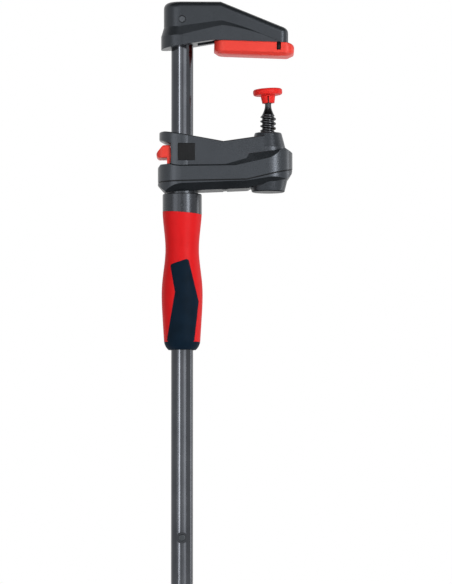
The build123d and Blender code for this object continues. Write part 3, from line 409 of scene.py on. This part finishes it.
def bar_profile(z):
    """Radius without the thread: full bar, hollow taper from the root to the neck, then the ball's circle."""
    left = np.clip((taper_low + TAPER_LENGTH - z) / TAPER_LENGTH, 0, 1)
    taper = NECK_RADIUS + (ROOT_RADIUS - NECK_RADIUS) * left**TAPER_HOLLOW
    bar = np.where(z < taper_low, SPINDLE_RADIUS, taper)
    foot = SPINDLE_RADIUS - np.clip(FOOT_CHAMFER - (z - thread_foot), 0, None)
    ball = np.sqrt(np.clip(BALL_RADIUS**2 - (z - ball_z) ** 2, 0, None))
    stem = np.where(z < ball_z, np.minimum(bar, foot), 0.0)
    return np.maximum(stem, ball)


bar_radius = bar_profile(np.array(thread_foot + 2 * FOOT_CHAMFER))
print("bar's radius", round(bar_radius, 5), "taper from", round(taper_low, 4), "ball at", round(ball_z, 4))

# %% Thread and skin of the spindle
THREAD_PITCH = 3.3 * MM
THREAD_DEPTH = 1.3 * MM
THREAD_SLOPE = 2.4
RUN_OUT = 1.6 * MM
ROWS_PER_TURN, TAPER_ROWS, BALL_ROWS = 18, 18, 22
SPINDLE_SIDES = 72


def thread_cut(angle, z):
    """Depth below the crest: a triangle wave of height plus pitch times turn, clipped; it runs out on top."""
    turn = (z / THREAD_PITCH + angle / (2 * np.pi)) % 1.0
    wave = 2 * np.abs(turn - 0.5)
    groove = np.clip(0.5 + THREAD_SLOPE * (wave - 0.5), 0, 1)
    run_out = np.clip((z - taper_low + RUN_OUT) / RUN_OUT, 0, 1)
    return np.where(z < taper_low, THREAD_DEPTH * np.maximum(groove, run_out), 0.0)


rows = np.concatenate([
    np.arange(thread_foot, taper_low, THREAD_PITCH / ROWS_PER_TURN),
    np.linspace(taper_low, ball_z - BALL_RADIUS, TAPER_ROWS),
    ball_z - BALL_RADIUS * np.cos(np.linspace(0.05, np.pi - 0.02, BALL_ROWS)),
])
angle, height = np.meshgrid(np.linspace(0, 2 * np.pi, SPINDLE_SIDES, endpoint=False), np.unique(rows))
radius = bar_profile(height) - thread_cut(angle, height)
spindle = surface_mesh("threaded_spindle", SPINDLE_X + radius * np.cos(angle), radius * np.sin(angle), height)
attach(spindle, spindle_steel, "spindle")
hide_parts("spindle")
print("spindle", len(spindle.data.polygons), "faces, thread up to", round(taper_low, 4))

# %% [markdown]
# ## A painted shadow strip in the seam
# Housing and cover meet in a shallow groove. A black strip lies at its bottom as painted shade, so the seam
# reads as a dark line all round the sliding arm, as the deep gap's shadow would. A curve with a bevel could
# draw it. Here the arm's plan, two half circles and two straight runs, is written as one ring of points; four
# such rings are the corners of the band.

# %% Seam shadow strip
SEAM_BEND_X = 45.0 * MM
SEAM_BEND_RISE = 1.3 * MM
SEAM_END_RISE = 8.9 * MM
SHADOW_STRIP_HEIGHT = 0.85 * MM
SHADOW_STRIP_OUTER = SLIDER_HALF - 0.35 * MM
SHADOW_STRIP_INNER = SLIDER_HALF - 1.0 * MM
ARC_POINTS, RUN_POINTS = 33, 24


def arm_plan(half):
    """Ring of points at a distance from the line between the rail's axis and the spindle's axis."""
    arc = np.radians(np.linspace(-90, 90, ARC_POINTS))
    run = np.linspace(1, 0, RUN_POINTS + 2)[1:-1] * SPINDLE_X
    flat = np.full(len(run), half)
    x = np.concatenate([SPINDLE_X + half * np.cos(arc), run, -half * np.cos(arc), run[::-1]])
    y = np.concatenate([half * np.sin(arc), flat, -half * np.sin(arc), -flat])
    return x, y


def seam_height(x):
    """Height of the seam: one gentle straight rise to the bend, then a steeper one to the boss."""
    places = [-SLIDER_HALF, SEAM_BEND_X, SPINDLE_X + SLIDER_HALF]
    return housing_low[2] + np.interp(x, places, [0.0, SEAM_BEND_RISE, SEAM_END_RISE])


corners = [(SHADOW_STRIP_OUTER, SHADOW_STRIP_HEIGHT), (SHADOW_STRIP_OUTER, 0.0), (SHADOW_STRIP_INNER, 0.0), (SHADOW_STRIP_INNER, SHADOW_STRIP_HEIGHT)]
plans = [arm_plan(half) for half, _ in corners]
shadow_strip_x = np.array([x for x, _ in plans])
shadow_strip_y = np.array([y for _, y in plans])
shadow_strip_z = seam_height(shadow_strip_x) - np.array([[drop] for _, drop in corners])
# The strip's black finish is painted shade for the seam's gap.
seam_shadow = hoop_mesh("seam_shadow_strip", shadow_strip_x, shadow_strip_y, shadow_strip_z)
attach(seam_shadow, tile_black, "slider")
print("seam_shadow", len(seam_shadow.data.polygons), "faces")

# %% [markdown]
# ## The clip-on pad
# The red pad is a moulded slab under the fixed arm, toed in by two degrees. Its tip is rounded like a thumb,
# top and bottom, its lower edge is cut back by a broad bevel, and a slot near the tip runs down each side. The
# solid has the slab and the slots with plain edge rounds; this piece adds the thumb and the bevel. Subdivision
# could round it, but would blur the slots. So it is a stack of outlines, each slightly unlike the plan.
#
# First comes the plan. Each of its points is kept as a centre, a direction and a radius, so that the outline
# can be drawn in later with its corners still round. Points lie double at the edges of the slots.

# %% Plan of the pad
PAD_LENGTH = 55.9 * MM
BACK_CORNER, TIP_CORNER = 8.5 * MM, 6.6 * MM
SLOT_X, SLOT_HALF = 45.1 * MM, 1.4 * MM
SLOT_EDGE = 0.05 * MM
CORNER_POINTS, SIDE_POINTS = 15, 7
pad_half = (pad_high[1] - pad_low[1]) / 2


def corner_points(centre_x, centre_y, radius, first, last):
    """Centre, direction and radius of each point on one rounded corner of the plan."""
    turn = np.radians(np.linspace(first, last, CORNER_POINTS))
    flat = np.ones_like(turn)
    return np.array([centre_x * flat, centre_y * flat, np.cos(turn), np.sin(turn), radius * flat])


def side_points(side):
    """Points along one long side, doubled at the slot's edges, in the order of the outline."""
    slot_edges = SLOT_X + np.array([SLOT_HALF + SLOT_EDGE, SLOT_HALF, -SLOT_HALF, -SLOT_HALF - SLOT_EDGE])
    plain = np.linspace(SLOT_X - 3 * SLOT_HALF, BACK_CORNER, SIDE_POINTS + 1)[:-1]
    x = np.concatenate([slot_edges, plain])[::side]
    flat = np.ones_like(x)
    return np.array([x, side * (pad_half - BACK_CORNER) * flat, 0 * flat, side * flat, BACK_CORNER * flat])


tip_y, back_y = pad_half - TIP_CORNER, pad_half - BACK_CORNER
tip_x = PAD_LENGTH - TIP_CORNER
centre_x, centre_y, out_x, out_y, corner = np.concatenate([
    corner_points(tip_x, -tip_y, TIP_CORNER, -90, 0), corner_points(tip_x, tip_y, TIP_CORNER, 0, 90),
    side_points(1), corner_points(BACK_CORNER, back_y, BACK_CORNER, 90, 180),
    corner_points(BACK_CORNER, -back_y, BACK_CORNER, 180, 270), side_points(-1)], axis=1)
print("plan of the pad has", len(centre_x), "points, half width", round(pad_half, 4))

# %% [markdown]
# Next come the levels, from the pad's foot to its top face. The bevel and the top round each draw the outline
# in, and an ellipse above and below pulls its tip back. Where the outline passes a slot, its points step in.

# %% Levels of the pad
PAD_THICKNESS = 9.2 * MM
BEVEL_HEIGHT, BEVEL_INSET = 1.9 * MM, 2.9 * MM
TOP_ROUND = 0.8 * MM
THUMB_ZONE, THUMB_LENGTH = 3.4 * MM, 11.0 * MM
THUMB_TOP, THUMB_FOOT = 4.4 * MM, 2.6 * MM
THUMB_SHARE = 0.96
SLOT_DEPTH, SLOT_REACH = 5.4 * MM, 4.0 * MM


def thumb(z):
    """How far the tip is pulled back at each level: most of a quarter ellipse above, and one below."""
    above = np.clip(1 + z / THUMB_ZONE, 0, 1)
    below = np.clip(1 - (z + PAD_THICKNESS) / THUMB_ZONE, 0, 1)
    return (THUMB_TOP * (1 - np.sqrt(1 - THUMB_SHARE * above**2))
            + THUMB_FOOT * (1 - np.sqrt(1 - THUMB_SHARE * below**2)))


swing = np.radians(np.linspace(0, 90, 9))
ramp = np.linspace(0, 1, 5)
middle = np.array([-6.6, -6.0, -5.45, -5.4, -4.4, -3.4, -2.9, -2.4, -1.9, -1.4, -1.1]) * MM
level = np.concatenate([BEVEL_HEIGHT * ramp - PAD_THICKNESS, middle, TOP_ROUND * (np.sin(swing) - 1)])[:, None]
inset = np.concatenate([BEVEL_INSET * (1 - ramp), 0 * middle, TOP_ROUND * (1 - np.cos(swing))])[:, None]
pad_x = centre_x + (corner - inset) * out_x
pad_y = centre_y + (corner - inset) * out_y
near_tip = np.clip(1 + (pad_x - PAD_LENGTH) / THUMB_LENGTH, 0, 1)
in_slot = (np.abs(centre_x - SLOT_X) < SLOT_HALF + SLOT_EDGE / 2) & (np.abs(out_y) == 1)
in_slot = in_slot & (level > -SLOT_DEPTH - SLOT_EDGE / 2) & (level < 0)
pad_y = pad_y - np.where(in_slot, SLOT_REACH * np.sign(pad_y), 0)
pad_x = pad_x - thumb(level) * near_tip**2
print("pad has", len(level), "levels and is", round(float(pad_x.max() - pad_x.min()), 4), "long")

# %% [markdown]
# Last, the stack is toed in, set under the arm and closed into a skin. Its edges stay crisp where two faces
# turn from each other by more than 40 degrees.

# %% Skin of the pad
PAD_BACK_X = 22.4 * MM
PAD_TOP_AT_BACK = 379.4 * MM
PAD_TOE_IN = math.radians(2.0)
SHARP_ANGLE = math.radians(40)


def on_the_arm(x, y, z):
    """Turns the pad's own lengths, from its back edge and top face, into places on the clamp."""
    across, down = math.cos(PAD_TOE_IN), math.sin(PAD_TOE_IN)
    return PAD_BACK_X + x * across + z * down, y, PAD_TOP_AT_BACK - x * down + z * across


pad = surface_mesh("clip_on_pad", *on_the_arm(pad_x, pad_y, level + 0 * pad_x))
pad.data.set_sharp_from_angle(angle=SHARP_ANGLE)
attach(pad, red_moulding, "frame")
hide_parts("jaw_pad")
print("pad", len(pad.data.polygons), "faces")

# %% [markdown]
# ## Snap tabs in the pad's slots
# A tab of the arm reaches down into each slot and holds the pad. It is given the black tile finish, so it shows
# there as a black bar: painted shade for the deep slot. Each tab is a ring whose corners are squared off by a
# power of sine and cosine, drawn down and closed in at its foot.

# %% Snap tabs
TAB_HALF, TAB_DEPTH = 1.3 * MM, 1.5 * MM
TAB_RECESS = 0.8 * MM
TAB_CORNER = 0.5
tab_level = np.array([[-5.2], [-5.1], [-4.7], [0.3]]) * MM
tab_size = np.array([[0.55], [0.85], [1.0], [1.0]])


def squared(turn, power):
    """Cosine and sine raised to a power below one, sign kept, which squares the circle off."""
    cosine, sine = np.cos(turn), np.sin(turn)
    return np.sign(cosine) * np.abs(cosine) ** power, np.sign(sine) * np.abs(sine) ** power


for side, name in [(-1, "front_snap_tab"), (1, "rear_snap_tab")]:
    u, v = squared(np.linspace(0, 2 * np.pi, 32, endpoint=False)[None, :], TAB_CORNER)
    tab_x = SLOT_X + tab_size * TAB_HALF * u
    tab_y = side * (pad_half - TAB_RECESS - TAB_DEPTH) + tab_size * TAB_DEPTH * v
    tab = surface_mesh(name, *on_the_arm(tab_x, tab_y, tab_level + 0 * u))
    # Black finish on the tab: painted shade of the slot.
    attach(tab, tile_black, "frame")
print("two snap tabs of", len(tab.data.polygons), "faces")

# %% [markdown]
# ## Cover screws with a cross recess
# Four small screws hold the cover from below. The solids have plain heads. A boolean could cut the driver's
# cross, but a height over the head does it too: the rings go from the head's middle over its edge to the
# shank, and a point on the head's face is lifted wherever it lies within one of the cross's two bars.

# %% Cover screws
SHANK_RADIUS, HEAD_RADIUS = 1.23 * MM, 2.38 * MM
HEAD_HEIGHT, HEAD_EDGE = 1.6 * MM, 0.35 * MM
BAR_HALF, BAR_REACH = 0.36 * MM, 1.45 * MM
RECESS_DEPTH, RECESS_SLOPE = 0.9 * MM, 0.18 * MM
HEAD_RINGS, HEAD_SIDES = 24, 72
head_low = screws_low[2]
face = np.linspace(HEAD_RADIUS - HEAD_EDGE, 0.03 * MM, HEAD_RINGS)
ring_radius = np.concatenate([face[::-1], [HEAD_RADIUS, HEAD_RADIUS, SHANK_RADIUS, SHANK_RADIUS]])[:, None]
shank_top = screws_high[2] - head_low
ring_height = np.concatenate([0 * face, [HEAD_EDGE, HEAD_HEIGHT, HEAD_HEIGHT, shank_top]])[:, None]
turn = np.linspace(0, 2 * np.pi, HEAD_SIDES, endpoint=False)[None, :]
head_x, head_y = ring_radius * np.cos(turn), ring_radius * np.sin(turn)


def bar_depth(along, across):
    """One bar of the cross: full depth inside, sloping to nothing over a short way past its edge."""
    past = np.maximum(np.abs(across) - BAR_HALF, np.abs(along) - BAR_REACH)
    return RECESS_DEPTH * np.clip(1 - past / RECESS_SLOPE, 0, 1)


cross = np.maximum(bar_depth(head_x, head_y), bar_depth(head_y, head_x))
head_z = head_low + ring_height + np.where(ring_height == 0, cross, 0)
first_x, last_x = screws_low[0] + HEAD_RADIUS, screws_high[0] - HEAD_RADIUS
first_y, last_y = screws_low[1] + HEAD_RADIUS, screws_high[1] - HEAD_RADIUS
for x_name, x_centre in [("rail_side", first_x), ("boss_side", last_x)]:
    for y_name, y_centre in [("front", first_y), ("rear", last_y)]:
        screw = surface_mesh(f"screw_{x_name}_{y_name}", x_centre + head_x, y_centre + head_y, head_z)
        screw.data.set_sharp_from_angle(angle=SHARP_ANGLE)
        attach(screw, pin_steel, "slider")
        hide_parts("cover_screws")
print("four screws of", len(screw.data.polygons), "faces")

# %% [markdown]
# ## The button's leaf spring
# A bowed leaf of spring steel pushes the release button out. Its middle rests on the pocket's end wall and
# its two ends on the button's prongs. It has to give way when the button goes in. A shape key could bend it;
# here it is built at rest and gets a mesh of its own. The leaf is a strip with a rectangular section that
# follows a curve: flat at the ends and in the middle, an S of half a cosine between.

# %% Leaf spring
LEAF = 0.6 * MM
SPRING_REST = 3.85 * MM
SPRING_PRONG = 8.7 * MM
spring_low, spring_high = (np.array(corner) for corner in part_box("button_spring"))
leaf_y = np.linspace(spring_high[1], spring_low[1], 61)
swing = np.clip((np.abs(leaf_y) - SPRING_REST) / (SPRING_PRONG - SPRING_REST), 0, 1)
bow = spring_high[0] - spring_low[0] - LEAF
leaf_x = spring_low[0] + LEAF / 2 + bow * (1 + np.cos(np.pi * swing)) / 2
along_x, along_y = np.gradient(leaf_x), np.gradient(leaf_y)
length = np.hypot(along_x, along_y)
out_x, out_y = along_y / length, -along_x / length
sides = np.array([1, -1, -1, 1]) * LEAF / 2
leaf_z = np.array([spring_low[2], spring_low[2], spring_high[2], spring_high[2]])[None, :]
strip_x = leaf_x[:, None] + out_x[:, None] * sides
strip_y = leaf_y[:, None] + out_y[:, None] * sides
spring = surface_mesh("leaf_spring", strip_x, strip_y, leaf_z + 0 * strip_x)
spring.data.set_sharp_from_angle(angle=SHARP_ANGLE)
attach(spring, pin_steel, "slider")
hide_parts("button_spring")
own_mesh(spring)

# %% [markdown]
# ## Studio: white ground, a dark flag, upright panels
# The photograph is a cut-out on white. The camera, mirror-like surfaces and clear ones see a world of plain
# white; every other ray meets a dim one. In the photograph the bevels that look up are nearly black, as they
# are under a dark flag. So a dark sheet hangs above the clamp, and the camera looks through it. The light
# comes level from upright panels: two round the lens give the dark sides their grey sheen, a bright one to
# the right gives the upright streaks on every round, and two weaker ones at the left and at the right rear
# edge the rail. One more panel lies on the floor. It lifts the red undersides, and no surface mirrors it.

# %% World and floor
WORLD_LIGHT = 0.15
FLOOR_GLOW = 0.88
FLOOR_HALF = 3.0
world = bpy.data.worlds.new("white_studio")
bpy.context.scene.world = world
world.use_nodes = True
world.node_tree.nodes.clear()


def seen_directly(tree):
    """One where a ray comes from the camera, a mirror or clear glass, else zero."""
    path = add(tree, "ShaderNodeLightPath")
    first = add(tree, "ShaderNodeMath", {"operation": "MAXIMUM"},
                i0=path.outputs["Is Camera Ray"], i1=path.outputs["Is Glossy Ray"])
    return add(tree, "ShaderNodeMath", {"operation": "MAXIMUM"},
               i0=first.outputs[0], i1=path.outputs["Is Transmission Ray"]).outputs[0]


def level_sheet(name, x_half, y_front, y_back, z, material):
    """Flat sheet at one height, centred on the rail; it is not attached to the clamp."""
    mesh = bpy.data.meshes.new(name)
    corners = [(-x_half, y_front, z), (x_half, y_front, z), (x_half, y_back, z), (-x_half, y_back, z)]
    mesh.from_pydata(corners, [], [(0, 1, 2, 3)])
    mesh.materials.append(material)
    sheet = bpy.data.objects.new(name, mesh)
    bpy.context.scene.collection.objects.link(sheet)
    return sheet


tree = world.node_tree
strength = add(tree, "ShaderNodeMapRange", Value=seen_directly(tree), i3=WORLD_LIGHT, i4=1.0)
sky = add(tree, "ShaderNodeBackground", Color=linear("#ffffff"), Strength=strength.outputs[0])
add(tree, "ShaderNodeOutputWorld", Surface=sky.outputs[0])

floor_paint, tree = new_material("white_studio_floor")
matte = add(tree, "ShaderNodeBsdfDiffuse", Color=linear("#e6e6e6"))
lift = add(tree, "ShaderNodeMath", {"operation": "MULTIPLY"}, i0=seen_directly(tree), i1=FLOOR_GLOW)
glow = add(tree, "ShaderNodeEmission", Color=linear("#ffffff"), Strength=lift.outputs[0])
close_material(tree, add(tree, "ShaderNodeAddShader", i0=matte.outputs[0], i1=glow.outputs[0]))
level_sheet("studio_floor", FLOOR_HALF, -FLOOR_HALF, FLOOR_HALF, 0.0, floor_paint)
print("world", WORLD_LIGHT, "floor glow", FLOOR_GLOW)

# %% Dark flag
FLAG_LIGHT = 0.05
flag_paint, tree = new_material("black_flag_cloth")
close_material(tree, add(tree, "ShaderNodeEmission", Color=linear("#ffffff"), Strength=FLAG_LIGHT))
FLAG_HEIGHT = 1.3
upper_flag = level_sheet("upper_flag", 1.6, -1.2, 0.35, FLAG_HEIGHT, flag_paint)
upper_flag.visible_camera = False
print("flag", FLAG_HEIGHT, "m above the floor")


# %% Light panels
def light_panel(name, width, height, brightness):
    """Area lamp that shines down from the origin. Brightness is how often it outshines white."""
    lamp = bpy.data.lights.new(name, "AREA")
    lamp.shape = "RECTANGLE"
    lamp.size = width
    lamp.size_y = height
    lamp.energy = 4 * width * height * brightness
    panel = bpy.data.objects.new(name, lamp)
    bpy.context.scene.collection.objects.link(panel)
    return panel


def upright_panel(name, bearing, distance, width, height, brightness):
    """Panel that stands on the floor at a bearing from the lens and faces the rail."""
    panel = light_panel(name, width, height, brightness)
    turn = math.radians(bearing)
    panel.location = (distance * math.sin(turn), -distance * math.cos(turn), height / 2)
    panel.rotation_euler = (math.pi / 2, 0, turn)


upright_panel("lens_panel_left", -15.0, 3.6, 0.9, 3.0, 1.15)
upright_panel("lens_panel_right", 15.0, 3.6, 0.9, 3.0, 1.15)
upright_panel("key_panel", 36.0, 1.5, 0.4, 1.1, 8.2)
upright_panel("fill_panel", -40.0, 1.6, 0.75, 0.8, 2.0)
upright_panel("rim_panel", 107.0, 1.2, 0.2, 0.75, 3.2)

bounce_panel = light_panel("bounce_panel", 1.2, 0.9, 0.35)
bounce_panel.location = (0.0, -0.05, 0.006)
bounce_panel.rotation_euler = (math.pi, 0, 0)
bounce_panel.visible_glossy = False
print(len(bpy.data.lights), "light panels, one of them on the floor")
